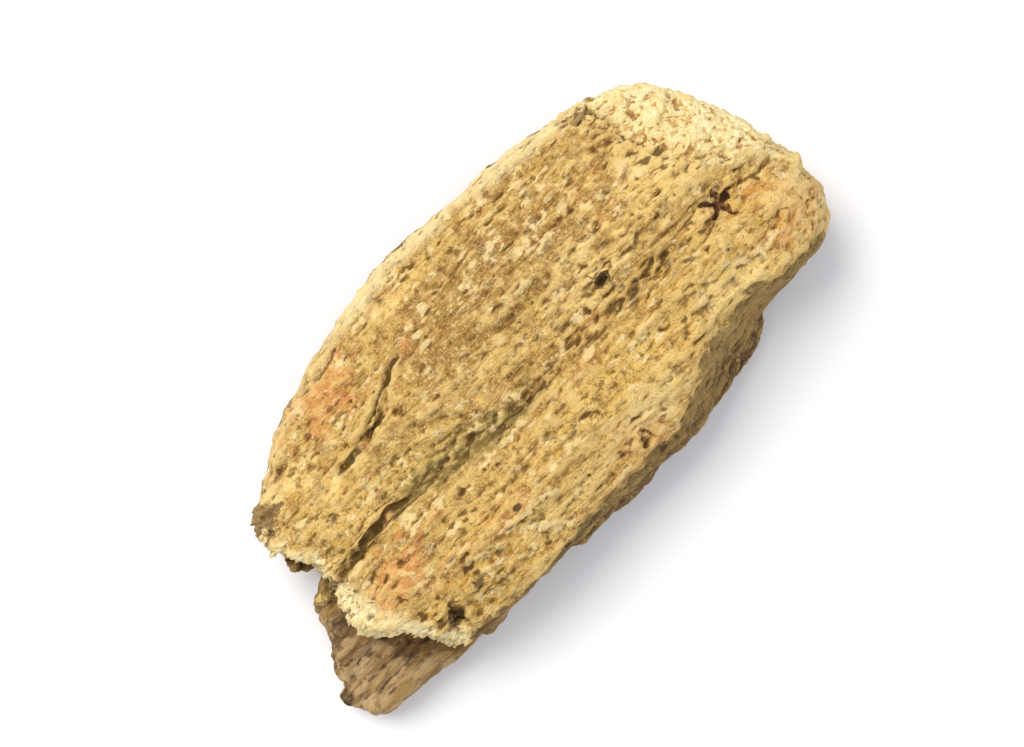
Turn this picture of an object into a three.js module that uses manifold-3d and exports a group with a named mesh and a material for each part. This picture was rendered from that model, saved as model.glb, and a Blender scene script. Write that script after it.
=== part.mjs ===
// A dried chip of cut rhubarb root, lying on its knife-cut face.
// It grew as one piece: yellow wood with brown skin down its sides, and a tongue of skin that reaches
// past the wood at the left broken end. Millimetres, +Z up, +X along the grain.
import * as THREE from "three";
import { ImprovedNoise } from "three/addons/math/ImprovedNoise.js";
import { mergeVertices } from "three/addons/utils/BufferGeometryUtils.js";
import Module from "manifold-3d";

const chipLength = 14;
const chipWidth = 6.8;
const rootColour = 0xc9a15c;
const rootRoughness = 0.9;

const wasm = await Module();
wasm.setup();
const noise = new ImprovedNoise();
const noiseSwing = 1.6; // brings the noise to about -1 to 1
const weldDistance = 1e-4;
const { clamp, lerp, smoothstep } = THREE.MathUtils;

// A smooth line through points, read as its height at x. It stays level past its ends.
function lineThrough(points) {
  const slopeAt = (i) => {
    const before = points[Math.max(i - 1, 0)];
    const after = points[Math.min(i + 1, points.length - 1)];
    return (after[1] - before[1]) / (after[0] - before[0]);
  };
  return (x) => {
    const last = points.length - 1;
    if (x <= points[0][0]) return points[0][1];
    if (x >= points[last][0]) return points[last][1];
    const i = points.findIndex((point) => point[0] > x) - 1;
    const [x0, y0] = points[i];
    const [x1, y1] = points[i + 1];
    const span = x1 - x0;
    const f = (x - x0) / span;
    const rise = f * f * (3 - 2 * f);
    const bendIn = f * (1 - f) * (1 - f) * span * slopeAt(i);
    const bendOut = f * f * (1 - f) * span * slopeAt(i + 1);
    return y0 + (y1 - y0) * rise + bendIn - bendOut;
  };
}

// Uneven relief about 0. Each kind has a height and a pitch, is drawn out along the grain by stretch,
// and reads a layer of the noise that is its own.
function relief(kinds, x, y, z = 0) {
  let total = 0;
  for (const { height, pitch, stretch = 1, layer } of kinds) {
    const value = noise.noise(x / (pitch * stretch) + layer, y / pitch + layer, z / pitch + layer);
    total += height * noiseSwing * value;
  }
  return total;
}

// A box of cells bent to shape: place gives the point for the fractions along, across and up.
function bentBox([along, across, up], place) {
  const box = new THREE.BoxGeometry(1, 1, 1, along, across, up);
  const corners = box.getAttribute("position");
  for (let i = 0; i < corners.count; i++) {
    const fractions = [corners.getX(i), corners.getY(i), corners.getZ(i)].map((f) => f + 0.5);
    corners.setXYZ(i, ...place(...fractions));
  }
  return box;
}

// A closed three.js geometry as a solid that manifold-3d can join and cut.
function solidOf(geometry) {
  const bare = geometry.clone();
  bare.deleteAttribute("normal");
  bare.deleteAttribute("uv");
  const merged = mergeVertices(bare, weldDistance);
  const vertProperties = merged.getAttribute("position").array;
  const triVerts = new Uint32Array(merged.index.array);
  return new wasm.Manifold(new wasm.Mesh({ numProp: 3, vertProperties, triVerts }));
}

// A solid back as a three.js geometry.
function geometryOf(solid) {
  const mesh = solid.getMesh();
  const geometry = new THREE.BufferGeometry();
  geometry.setAttribute("position", new THREE.BufferAttribute(mesh.vertProperties, 3));
  geometry.setIndex(new THREE.BufferAttribute(mesh.triVerts, 1));
  geometry.computeVertexNormals();
  return geometry;
}

// The chip's main body. Each line is read at x, along the chip, unless it says otherwise.
const body = {
  cells: [48, 24, 7],
  height: 2.5,
  crestY: -1.35,
  // how far the rims are rounded in and from which fraction of the height, and how far and how sharply
  // the foot is tucked in
  rimRound: 0.14,
  rimFrom: 0.8,
  footTuck: 0.4,
  tuckBend: 5,
  // the fraction of the height up to which the near side stands upright, how sharply it leans in from
  // there, and the fraction up to which the far side bulges out
  nearUpright: 0.18,
  nearLean: 1.4,
  farBulge: 0.6,
  // y of the top face's two long rims
  nearRim: lineThrough([
    [-6, -3.1], [-4.2, -3.12], [-1.9, -3.2], [0, -3.1], [1.5, -3.02], [2.5, -2.7],
    [3.3, -2.22], [4.2, -2.14], [5.3, -2.46], [6.3, -2.34], [7, -1.95],
  ]),
  farRim: lineThrough([
    [-5.9, 1.25], [-5.5, 1.8], [-4.74, 2.25], [-3.7, 2.78], [-2.1, 3.2], [-0.4, 3.45],
    [1.1, 3.45], [2.9, 3.24], [4.2, 3], [5, 2.76], [5.8, 2.35], [6.5, 1.5], [7, 0.7],
  ]),
  // y of the skin where the two long sides turn under
  nearFoot: lineThrough([
    [-6, -3.05], [-4.2, -3.26], [-3, -3.24], [-1.7, -3.2], [-0.6, -3.35], [0.75, -3.37], [2.1, -3.3],
    [3.45, -3.27], [4, -3.05], [4.5, -2.66], [5.4, -2.5], [6.5, -2.3], [7, -1.9],
  ]),
  farFoot: lineThrough([
    [-5.9, 0.3], [-4.6, 1], [-3.4, 1.55], [-1.8, 1.95], [0.2, 2.35], [2, 2.2], [3.8, 2.05],
    [5.4, 1.4], [7, 0],
  ]),
  // x of the two broken ends at the fraction across, near side to far side
  leftEnd: lineThrough([
    [0, -4.25], [0.06, -4.68], [0.15, -5.02], [0.26, -5.3], [0.36, -5.62], [0.5, -5.56],
    [0.64, -5.48], [0.8, -5.64], [0.93, -5.98], [1, -5.92],
  ]),
  rightEnd: lineThrough([
    [0, 6.5], [0.08, 6.92], [0.2, 6.84], [0.36, 7], [0.55, 6.8], [0.75, 6.68], [0.9, 6.42], [1, 6.05],
  ]),
  // how far the left end is hollowed under its lip, at the fraction across, between which fractions of
  // the height, and what share of that the right end is hollowed
  hollow: lineThrough([[0, 0.3], [0.2, 0.75], [0.4, 0.7], [0.55, 0.35], [1, 0.25]]),
  hollowFrom: [0.1, 0.4],
  hollowTo: [0.45, 0.85],
  rightHollow: 0.2,
  // height of the crest, and the drop from it to each rim
  crest: lineThrough([
    [-6, 1.95], [-5, 2.15], [-3, 2.5], [0, 2.8], [3, 3.05], [5, 2.95], [6.2, 2.6], [7, 2.2],
  ]),
  nearDrop: lineThrough([[-6, 0.4], [-2, 0.6], [1, 0.7], [3, 0.4], [5, 0.55], [7, 0.6]]),
  farDrop: lineThrough([[-6, 0.55], [-3.5, 1], [0, 1.45], [3, 1.4], [7, 0.7]]),
  // how sharply it falls away: 1 is a straight slope
  nearBend: 1.9,
  farBend: 2.2,
  topRelief: [
    { height: 0.15, pitch: 0.9, stretch: 6, layer: 3.1 },
    { height: 0.08, pitch: 0.45, stretch: 5, layer: 11.7 },
    { height: 0.08, pitch: 1.7, layer: 8.4 },
  ],
  sideRelief: [
    { height: 0.12, pitch: 0.62, stretch: 4, layer: 20.3 },
    { height: 0.06, pitch: 0.7, layer: 5.6 },
  ],
  endRelief: [{ height: 0.16, pitch: 0.8, layer: 2.9 }],
};

// The seam that splits the top face lengthwise, and the trough round it.
const seam = {
  line: lineThrough([
    [-5.6, -0.42], [-4.9, -0.3], [-3.9, -0.24], [-2.9, -0.2], [-1.6, -0.38], [-0.6, -0.58],
    [0.8, -0.46], [1.9, -0.54], [3, -0.52], [4, -0.56], [5.2, -0.43],
  ]),
  troughDepth: lineThrough([
    [-5.8, 0.2], [-4, 0.34], [-2.4, 0.5], [-0.6, 0.46], [1.5, 0.3], [4, 0.2], [6, 0],
  ]),
  nearWidth: 0.42,
  farWidth: 0.7,
};

// Height of the top face: a crest, a trough along the seam, and a slope down to each rim.
function topAt(x, y) {
  const far = Math.max(y - body.crestY, 0) / (body.farRim(x) - body.crestY);
  const near = Math.max(body.crestY - y, 0) / (body.crestY - body.nearRim(x));
  const drop = body.farDrop(x) * far ** body.farBend + body.nearDrop(x) * near ** body.nearBend;
  const off = y - seam.line(x);
  const offSeam = off / (off < 0 ? seam.nearWidth : seam.farWidth);
  const trough = seam.troughDepth(x) * Math.exp(-offSeam * offSeam);
  return body.crest(x) - drop - trough + relief(body.topRelief, x, y);
}

// The underside is a knife-cut flat, with wrinkled skin that lifts off the table round it.
const underside = {
  sideLift: 0.55,
  sideBend: 2.6,
  endLift: 0.4,
  endBend: 1.4,
  // how far along from midX the ends start to lift, and are fully lifted
  midX: 0.3,
  endFrom: 4.3,
  endTo: 6.6,
  sunk: 0.2,
  relief: [
    { height: 0.16, pitch: 0.8, stretch: 5, layer: 14.2 },
    { height: 0.1, pitch: 0.9, layer: 17.5 },
  ],
};

function bottomAt(x, y) {
  const middle = (body.nearFoot(x) + body.farFoot(x)) / 2;
  const half = (body.farFoot(x) - body.nearFoot(x)) / 2;
  const side = Math.min(Math.abs(y - middle) / half, 1);
  const end = smoothstep(Math.abs(x - underside.midX), underside.endFrom, underside.endTo);
  const sideLift = underside.sideLift * side ** underside.sideBend;
  const endLift = underside.endLift * end ** underside.endBend;
  return Math.max(0, sideLift + endLift - underside.sunk + relief(underside.relief, x, y));
}

function bodyBlock() {
  return bentBox(body.cells, (u, v, w) => {
    const z = w * body.height;
    const rimInset = body.rimRound * smoothstep(w, body.rimFrom, 1);
    const tuck = body.footTuck * (1 - w) ** body.tuckBend;
    const ragged = relief(body.endRelief, u * chipLength, v * chipWidth, z);
    const hollow = body.hollow(v) * smoothstep(w, ...body.hollowFrom) * (1 - smoothstep(w, ...body.hollowTo));
    const left = body.leftEnd(v) + rimInset + tuck + hollow + ragged;
    const right = body.rightEnd(v) - rimInset - tuck - body.rightHollow * hollow + ragged;
    const x = lerp(left, right, u);
    const wrinkle = relief(body.sideRelief, x, z) * Math.sin(Math.PI * w);
    const nearWall = clamp((w - body.nearUpright) / (1 - body.nearUpright), 0, 1) ** body.nearLean;
    const nearY = lerp(body.nearFoot(x), body.nearRim(x), nearWall) + tuck + rimInset + wrinkle;
    const farWall = Math.sin((Math.PI / 2) * clamp(w / body.farBulge, 0, 1));
    const farY = lerp(body.farFoot(x), body.farRim(x), farWall) - rimInset + wrinkle;
    const y = lerp(nearY, farY, v);
    return [x, y, lerp(bottomAt(x, y), topAt(x, y), w)];
  });
}

// The tongue of skin that reaches past the wood at the left end, low over the table.
const tongue = {
  cells: [17, 13, 3],
  near: lineThrough([
    [-7, -2.45], [-6.7, -2.88], [-6.2, -2.99], [-5.5, -3.03], [-4.4, -3.14], [-3.4, -2.9],
  ]),
  far: lineThrough([[-7, -0.95], [-6.3, -0.5], [-5.7, -0.15], [-5.1, 0.15], [-4.4, 0.3], [-3.4, 0.3]]),
  // x of the free tip at the fraction across, and of the end buried in the body
  tip: lineThrough([
    [0, -6.75], [0.15, -6.98], [0.3, -7], [0.45, -6.7], [0.62, -6.62], [0.8, -6.3], [1, -6.05],
  ]),
  root: -3.6,
  top: lineThrough([[-7, 0.76], [-6.5, 0.92], [-5.8, 1.02], [-4.8, 0.95], [-3.6, 1]]),
  bottom: lineThrough([[-7, 0.16], [-6.2, 0.1], [-5, 0.06], [-3.6, 0.1]]),
  edgeRound: 0.1,
  // height across it, near side to far side: the far edge curls up
  curl: lineThrough([[0, 0], [0.3, -0.15], [0.6, 0], [1, 0.3]]),
  tipRelief: [{ height: 0.16, pitch: 0.5, layer: 6.3 }],
  topRelief: [{ height: 0.15, pitch: 0.5, stretch: 5, layer: 31.4 }],
};

function skinTongue() {
  return bentBox(tongue.cells, (u, v, w) => {
    const round = tongue.edgeRound * (2 * w - 1) ** 4;
    const x0 = tongue.tip(v);
    const ragged = relief(tongue.tipRelief, x0, v * chipWidth, w * body.height) * (1 - u);
    const x = lerp(x0 + round + ragged, tongue.root, u);
    const y = lerp(tongue.near(x) + round, tongue.far(x) - round, v);
    const curl = tongue.curl(v);
    const skinTop = tongue.top(x) + curl + relief(tongue.topRelief, x, y);
    return [x, y, lerp(tongue.bottom(x) + Math.max(curl, 0) / 2, skinTop, w)];
  });
}

// Cuts into the top face reach this far above it.
const cutAbove = 0.4;

// A narrow crack that follows the top face from x to x. How far it opens is read at the fraction along
// it, and most open half way unless it says otherwise. Its floor is a share of its width, and it wanders.
const crackRelief = [{ height: 0.4, pitch: 0.7, layer: 4.8 }];
const crackFloor = 0.12;
const crackWander = 0.12;
const openHalfWay = (u) => Math.sin(Math.PI * clamp(u, 0.02, 0.98)) ** 0.6;
function crack({ from, to, line, width, depth, cells, openAt = openHalfWay }) {
  return bentBox([cells, 2, 2], (u, v, w) => {
    const x = lerp(from, to, u);
    const open = openAt(u);
    const uneven = relief(crackRelief, x, 0);
    const halfWidth = (width / 2) * open * (1 + uneven) * lerp(crackFloor, 1, w);
    const y = line(x) + crackWander * uneven + (2 * v - 1) * halfWidth;
    const top = topAt(x, line(x));
    return [x, y, lerp(top - depth * open, top + cutAbove, w)];
  });
}

// A small uneven pit let into the top face, its longer side turned off the grain by turn radians.
const pitRelief = [{ height: 0.35, pitch: 0.8, layer: 9.6 }];
function pit([x, y], [sizeX, sizeY, sizeZ], turn = 0) {
  const ball = new THREE.IcosahedronGeometry(1, 1);
  const corners = ball.getAttribute("position");
  const z = topAt(x, y);
  for (let i = 0; i < corners.count; i++) {
    const [a, b, c] = [corners.getX(i), corners.getY(i), corners.getZ(i)];
    const swell = 1 + relief(pitRelief, a + x, b + y, c + z);
    corners.setXYZ(i, a * swell * sizeX, b * swell * sizeY, c * swell * sizeZ);
  }
  return ball.rotateZ(turn).translate(x, y, z);
}

// The far right corner, where the top has broken off down to a rough granular face.
const brokenCorner = {
  cells: [18, 11, 1],
  // x and y of the ledge at the fraction along it, and its height
  edgeX: lineThrough([[0, 4.1], [0.22, 4.75], [0.4, 4.85], [0.6, 5.1], [0.75, 5.75], [1, 7.3]]),
  edgeY: lineThrough([[0, 3.5], [0.22, 2.4], [0.4, 1.6], [0.6, 0.8], [0.75, 0.2], [1, -0.35]]),
  ledge: 0.2,
  // the way out over the corner
  outward: [2.55, 1.8],
  edgeRelief: [{ height: 0.12, pitch: 0.1, layer: 7.7 }],
  faceRelief: [
    { height: 0.14, pitch: 0.6, layer: 1.2 },
    { height: 0.1, pitch: 0.32, layer: 6.9 },
  ],
};

function cornerCut() {
  const [outX, outY] = brokenCorner.outward;
  return bentBox(brokenCorner.cells, (u, v, w) => {
    const wander = relief(brokenCorner.edgeRelief, u, 0);
    const x = brokenCorner.edgeX(u) + outX * v + wander;
    const y = brokenCorner.edgeY(u) + outY * v - wander;
    const face = topAt(x, y) - brokenCorner.ledge + relief(brokenCorner.faceRelief, x, y);
    return [x, y, w === 0 ? face : body.crest(x) + cutAbove];
  });
}

const besideGap = 0.12;
const besideSeam = (x) => seam.line(x) + besideGap;
const seamOpen = lineThrough([
  [0, 0.3], [0.07, 0.85], [0.2, 1], [0.3, 0.9], [0.4, 0.5], [0.85, 0.42], [1, 0.1],
]);
const shortCrack = lineThrough([[-3.9, 1], [-2.8, 1.14], [-1.3, 1.95]]);
const cracks = [
  { from: -5.75, to: 2.1, line: seam.line, width: 0.2, depth: 0.32, cells: 28, openAt: seamOpen },
  { from: -3.9, to: -1.3, line: shortCrack, width: 0.28, depth: 0.36, cells: 14 },
  { from: 2.2, to: 4.3, line: besideSeam, width: 0.2, depth: 0.22, cells: 10 },
];

// The star-shaped pit near the right end. Its rays have a direction, in radians, and a reach.
const star = {
  at: [5.2, -0.55],
  rays: [[0.2, 0.34], [1.3, 0.26], [2.45, 0.36], [3.6, 0.24], [4.95, 0.3]],
  halfWidth: 0.065,
  depth: 0.17,
};
const starPits = star.rays.map(([turn, reach]) => {
  const at = [star.at[0] + (Math.cos(turn) * reach) / 2, star.at[1] + (Math.sin(turn) * reach) / 2];
  return { at, size: [reach / 2 + star.halfWidth, star.halfWidth, star.depth], turn };
});
const pits = [
  ...starPits,
  { at: [-4.05, -2.56], size: [0.22, 0.13, 0.35], turn: 0.5 },
  { at: [-3.3, -2.45], size: [0.18, 0.08, 0.2] },
  { at: [2.55, 0.05], size: [0.2, 0.08, 0.2], turn: 0.3 },
  { at: [0.95, -2.72], size: [0.17, 0.08, 0.13], turn: -0.2 },
];

function rootChip() {
  let chip = solidOf(bodyBlock()).add(solidOf(skinTongue()));
  chip = chip.subtract(solidOf(cornerCut()));
  for (const each of cracks) chip = chip.subtract(solidOf(crack(each)));
  for (const { at, size, turn } of pits) chip = chip.subtract(solidOf(pit(at, size, turn)));
  return geometryOf(chip);
}

// Scales the chip to its length and width, and stands it on the origin.
function toSize(geometry) {
  geometry.computeBoundingBox();
  const size = geometry.boundingBox.getSize(new THREE.Vector3());
  const centre = geometry.boundingBox.getCenter(new THREE.Vector3());
  geometry.translate(-centre.x, -centre.y, -geometry.boundingBox.min.z);
  geometry.scale(chipLength / size.x, chipWidth / size.y, 1);
  return geometry;
}

const chipMaterial = new THREE.MeshStandardMaterial({
  color: rootColour,
  roughness: rootRoughness,
  metalness: 0,
  flatShading: true,
});
const chip = new THREE.Mesh(toSize(rootChip()), chipMaterial);
chip.name = "root_chip";

const group = new THREE.Group();
group.add(chip);

export default group;
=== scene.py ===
import math
import random

import bmesh
import bpy
import numpy as np
from mathutils import Matrix, Vector, noise
from mathutils.bvhtree import BVHTree


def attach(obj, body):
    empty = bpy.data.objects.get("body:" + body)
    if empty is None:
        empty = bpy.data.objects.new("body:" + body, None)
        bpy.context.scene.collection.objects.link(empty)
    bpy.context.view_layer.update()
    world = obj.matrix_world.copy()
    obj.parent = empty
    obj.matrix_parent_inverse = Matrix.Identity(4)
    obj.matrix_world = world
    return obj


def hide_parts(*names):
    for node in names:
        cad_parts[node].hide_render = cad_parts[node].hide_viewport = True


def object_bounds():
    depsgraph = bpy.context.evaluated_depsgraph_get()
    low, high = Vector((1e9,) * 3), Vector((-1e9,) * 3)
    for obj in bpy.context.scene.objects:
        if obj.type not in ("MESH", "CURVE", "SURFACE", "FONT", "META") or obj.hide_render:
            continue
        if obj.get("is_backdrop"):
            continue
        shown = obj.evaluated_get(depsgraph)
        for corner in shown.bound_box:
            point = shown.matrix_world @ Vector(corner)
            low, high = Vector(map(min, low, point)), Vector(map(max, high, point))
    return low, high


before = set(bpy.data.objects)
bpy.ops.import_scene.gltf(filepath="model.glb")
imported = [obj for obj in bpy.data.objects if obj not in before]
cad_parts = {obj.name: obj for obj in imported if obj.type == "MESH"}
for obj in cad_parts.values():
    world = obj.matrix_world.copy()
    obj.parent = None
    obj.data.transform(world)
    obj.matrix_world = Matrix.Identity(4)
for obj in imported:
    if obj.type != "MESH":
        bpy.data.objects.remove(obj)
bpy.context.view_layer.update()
mm = 0.001  # meshes are worked in millimetres and scaled down when they are done
noiseSeed = 5
noise.seed_set(noiseSeed)  # or noise_vector would differ from run to run


# Small helpers

def smoothstep(low, high, value):
    t = np.clip((value - low) / (high - low), 0.0, 1.0)
    return t * t * (3 - 2 * t)


def lineAt(line, at):
    along, across = zip(*line)
    return np.interp(at, along, across)


def noisePlaces(points, pitch, stretch, layer):
    # noise of this pitch is drawn out along the grain by stretch, and each layer is a noise of its own
    return (points / np.array((pitch * stretch, pitch, pitch)) + layer).tolist()


def noiseAt(points, pitch, stretch=1.0, layer=0.0):
    return np.array([noise.noise(p) for p in noisePlaces(points, pitch, stretch, layer)])


def roughAt(points, pitch, stretch=1.0, layer=0.0, octaves=4, evenness=0.75):
    # several sizes of noise in one, from pitch down, with stronger fine ones where evenness is low
    places = noisePlaces(points, pitch, stretch, layer)
    return np.array([noise.fractal(p, evenness, 2.0, octaves) for p in places])


def swayAt(points, pitch, layer):
    # a push in all three directions
    return np.array([noise.noise_vector(p)[:] for p in (points / pitch + layer).tolist()])


def cellsAt(points, pitch, stretch=1.0, layer=0.0):
    # distance to the nearest and second nearest cell point, and a number from 0 to 1 that is the cell's own
    first, second, own = [], [], []
    for p in noisePlaces(points, pitch, stretch, layer):
        distances, spots = noise.voronoi(p)
        x, y, z = spots[0]
        first.append(distances[0])
        second.append(distances[1])
        own.append((x * 12.9 + y * 78.2 + z * 37.7) % 1.0)
    return np.array(first), np.array(second), np.array(own)


def stacked(heights, forms):
    return sum(heights[name] * form for name, form in forms.items())


def readPoints(mesh):
    points = np.zeros(len(mesh.vertices) * 3)
    mesh.vertices.foreach_get("co", points)
    return points.reshape(-1, 3)


def writePoints(mesh, points):
    mesh.vertices.foreach_set("co", points.ravel())
    mesh.update()


def readNormals(mesh):
    normals = np.zeros(len(mesh.vertices) * 3)
    mesh.vertex_normals.foreach_get("vector", normals)
    return normals.reshape(-1, 3)


def readAttribute(mesh, name):
    values = np.zeros(len(mesh.vertices), np.float32)
    mesh.attributes[name].data.foreach_get("value", values)
    return values


def evenOut(mesh, values, passes):
    # each vertex takes the mean of its neighbours, as often as passes says
    edges = np.zeros(len(mesh.edges) * 2, int)
    mesh.edges.foreach_get("vertices", edges)
    a, b = edges.reshape(-1, 2).T
    count = np.bincount(np.concatenate((a, b)), minlength=len(values))
    columns = values.reshape(len(values), -1).T.copy()
    for _ in range(passes):
        for i, column in enumerate(columns):
            total = np.bincount(a, column[b], len(column)) + np.bincount(b, column[a], len(column))
            columns[i] = total / count
    return columns.T.reshape(values.shape)


# The chip. Lines and places are millimetres in the frame's own axes, +X along the grain.
chip = {
    "voxel": 0.036,  # cell that the relief is worked on
    "merge": 0.0005,  # points closer than this are one
    "settle": 7,  # passes that round the facets off
    "triangles": 190000,  # what is left once the even parts are thinned
    "onTop": (0.8, 1.1),  # the height where the top face begins, and from where all is top face
    "tongueTop": 1.3,
    # y and x along the left end
    "leftEnd": [(-3.1, -4.3), (-2.6, -4.8), (-2.0, -5.1), (-1.3, -5.35), (-0.5, -5.6), (0.4, -5.5),
                (1.25, -5.8)],
    # x and y along the two long rims
    "nearRim": [(-6, -3.1), (-1.9, -3.2), (0, -3.1), (1.5, -3.05), (2.5, -2.75), (3.3, -2.3), (4.2, -2.22),
                (5.3, -2.5), (6.3, -2.35), (7, -1.95)],
    "farRim": [(-5.9, 1.2), (-4.74, 2.2), (-3.7, 2.73), (-2.1, 3.15), (-0.4, 3.4), (1.1, 3.4), (2.9, 3.2),
               (4.2, 2.95), (5, 2.7), (5.8, 2.3), (6.5, 1.5), (7, 0.7)],
    # y and x along the ledge over the broken corner
    "cornerEdge": [(-0.35, 7.3), (0.2, 5.75), (0.8, 5.1), (1.6, 4.85), (2.4, 4.75), (3.5, 4.1)],
    "seam": [(-5.6, -0.42), (-4.9, -0.3), (-3.9, -0.24), (-2.9, -0.2), (-1.6, -0.38), (-0.6, -0.58),
             (0.8, -0.46), (1.9, -0.54), (3, -0.52), (4, -0.56), (5.2, -0.43)],
    "seamEnds": (-5.9, 4.4),
    "seamWidth": (0.02, 0.16),  # from its darkest line out to where it ends
    # painted shade in the seam: how dark at x, where its darkest line lies, and how dark its middle is
    "seamShade": [(-5.6, 0.8), (-5, 1), (-4.6, 1), (-4.1, 0.6), (-2.6, 0.4), (4.4, 0.3)],  # how dark at x
    "seamShift": (0, 0.09, 0),  # how far its darkest line lies to the near side
    "seamMiddle": 0.75,  # how dark its own middle is beside that
    "shortCrack": [(-3.9, 1.0), (-2.8, 1.14), (-1.3, 1.95)],
    "shortCrackEnds": (-4.0, -1.0),
    "shortCrackWidth": (0.02, 0.13),
    # x, y and reach
    "pits": [(5.2, -0.55, 0.08), (-4.05, -2.56, 0.16), (-3.3, -2.45, 0.1), (2.55, 0.05, 0.16),
             (0.95, -2.72, 0.1)],
    "ragged": (0.035, 0.08),  # how far edges are pulled about, and how much further at the pits
    "splinters": [((0.5, 0.13, 0.13), 0.06), ((0.22, 0.07, 0.07), 0.035)],  # pitch each way, and how far
    "snap": 0.16,  # how far fibre bundles step in and out at the snapped end
    "lipPush": (-5.3, -1.6, 0.09),  # where the lip reaches further out, and how far
    # the star-shaped pit near the right end: the direction and reach of its rays, and its tinted surround
    "star": (5.2, -0.55),
    "starRays": [(0.2, 0.58), (1.3, 0.36), (2.45, 0.54), (3.6, 0.36), (4.95, 0.44)],
    "starRayWidth": 0.085,
    "starMiddle": (0.17, 0.07),
    "starSurround": (0.42, 0.36, 0.35),
    "starDepth": (0.05, 0.11),  # its mean, and how uneven it is
    # passes of evening out that a place is measured against, and the depth at which it is fully one
    "hollows": (10, 0.05),
    "valleys": (120, 0.3),
    "ringPasses": 50,  # passes that spread the darker ring in from the skin, underneath
}

# Height of each fine form, in millimetres
woodForms = {"swells": 0.04, "strands": 0.022, "pitting": 0.032, "bundles": 0.026, "torn": -0.03,
             "pores": -0.05, "pale": 0.02, "dark": -0.045}
barkForms = {"wrinkles": 0.075, "folds": 0.03, "crinkles": 0.024, "grains": 0.024, "splits": -0.03}
brokenForms = {"crumbs": 0.06, "roughness": 0.045, "lumps": 0.05, "dark": -0.06}
cutForms = {"gouges": -0.045, "knifeMarks": -0.02, "strands": -0.02, "pores": -0.09}
crackDepths = {"shortCrack": 0.14, "seamLine": 0.05}

# Tones, stains, painted highlights and a painted shadow by place: x, y, radius along, radius across, how
# strong
marks = {
    "brown": [(0.9, 1.5, 2.6, 1.2, 1.0), (-2.9, 0.6, 1.3, 0.5, 0.5), (-1.5, -1.9, 0.6, 0.25, 0.7),
              (-3.0, -1.9, 0.5, 0.25, 0.7), (3.9, 2.0, 0.5, 0.35, 0.8), (4.4, 0.1, 0.45, 0.25, 0.8),
              (-3.5, -0.8, 0.5, 0.22, 0.8), (2.3, 1.6, 0.6, 0.3, 1.0)],
    "yellow": [(1.9, -1.7, 3.0, 0.7, 1.0), (5.8, -1.3, 1.2, 0.9, 1.0), (-4.2, 0.6, 1.0, 0.8, 0.8),
               (-3.1, -2.45, 1.8, 0.5, 1.0), (6.2, -1.9, 0.8, 0.5, 1.0)],
    "pale": [(1.3, -2.35, 2.4, 0.6, 1.0), (5.3, 0.6, 1.2, 0.9, 1.0), (3.4, -1.65, 1.6, 0.5, 1.0),
             (-0.9, -2.6, 1.8, 0.5, 1.0), (-2.1, -0.95, 0.7, 0.22, 0.8), (0.3, 2.8, 1.6, 0.3, 0.5),
             (0.3, -1.45, 1.8, 0.4, 0.8), (-2.6, -1.4, 1.2, 0.4, 0.7), (-4.0, 0.5, 1.3, 0.45, 0.9),
             (-2.5, 0.3, 1.2, 0.4, 1.0), (0.6, 0.3, 1.6, 0.4, 0.9), (2.3, 0.15, 1.1, 0.35, 1.0),
             (-0.75, 2.6, 0.7, 0.3, 0.9), (4.1, -2.55, 1.0, 0.35, 1.0), (-1.7, 0.15, 0.8, 0.22, 1.0),
             (0.2, 0.1, 0.5, 0.2, 0.9), (-5.0, 0.25, 0.3, 0.25, 0.9), (0.3, -0.8, 0.8, 0.2, 0.8)],
    # the first butter spot is a painted highlight on the near crest
    "butter": [(1.3, -2.4, 1.0, 0.36, 1.0), (-0.4, -2.5, 1.2, 0.22, 0.5), (4.4, -1.95, 0.9, 0.3, 1.0),
               (5.1, 1.1, 0.8, 1.0, 0.9), (-5.1, -1.75, 0.3, 0.25, 0.7), (2.3, 0.12, 0.8, 0.26, 1.0),
               (-4.5, 1.6, 0.5, 0.35, 0.9), (-0.8, 2.6, 0.4, 0.2, 0.6), (6.1, -1.4, 0.4, 0.3, 0.8),
               (2.3, 0.65, 0.5, 0.25, 0.6)],
    # the first cream spot is a painted highlight on the near crest; the second is the paler broken corner
    "cream": [(1.5, -2.35, 0.5, 0.24, 0.15), (5.2, 1.1, 0.4, 0.5, 0.3)],
    "orange": [(-2.93, 2.3, 0.75, 0.5, 0.9), (-4.19, -1.18, 0.65, 0.5, 1.0), (6.2, -1.6, 0.6, 0.5, 0.75),
               (0.95, -2.6, 0.6, 0.35, 0.7), (-1.9, -1.9, 0.8, 0.3, 0.35), (5.9, -0.9, 0.5, 0.35, 0.45)],
    # dark stains and pit marks; the last, under the lip, is a painted shadow
    "stainsAndShadow": [(-4.05, -2.56, 0.24, 0.17, 1.0), (-3.3, -2.45, 0.18, 0.12, 0.7),
               (2.53, 0.03, 0.2, 0.13, 0.8), (2.91, -0.53, 0.16, 0.1, 0.7), (3.79, -0.46, 0.15, 0.1, 0.6),
               (0.95, -2.78, 0.15, 0.08, 0.5), (-5.9, -1.1, 0.32, 0.22, 0.6), (-6.5, -1.35, 0.28, 0.18, 0.7),
               (-6.85, -2.2, 0.26, 0.2, 0.8), (-5.3, -2.4, 0.34, 0.28, 0.55)],
    # scraps of skin left on the wood's far rim and corner
    "scraps": [(-5.45, 1.5, 0.42, 0.34, 1.0), (4.6, 2.6, 0.36, 0.16, 0.8), (-3.5, 2.72, 0.34, 0.13, 0.8)],
}


def onTopFace(points):
    return smoothstep(*chip["onTop"], points[:, 2])


def patches(points, spots, layer):
    x, y = points[:, 0], points[:, 1]
    edge = 1 + 0.9 * noiseAt(points, 0.35, layer=layer) + 0.7 * noiseAt(points, 0.14, 1.6, layer)
    total = np.zeros(len(points))
    for spotX, spotY, along, across, strength in spots:
        reach = np.hypot((x - spotX) / along, (y - spotY) / across)
        total = np.maximum(total, strength * smoothstep(1.25, 0.45, reach * edge))
    return total


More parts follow.
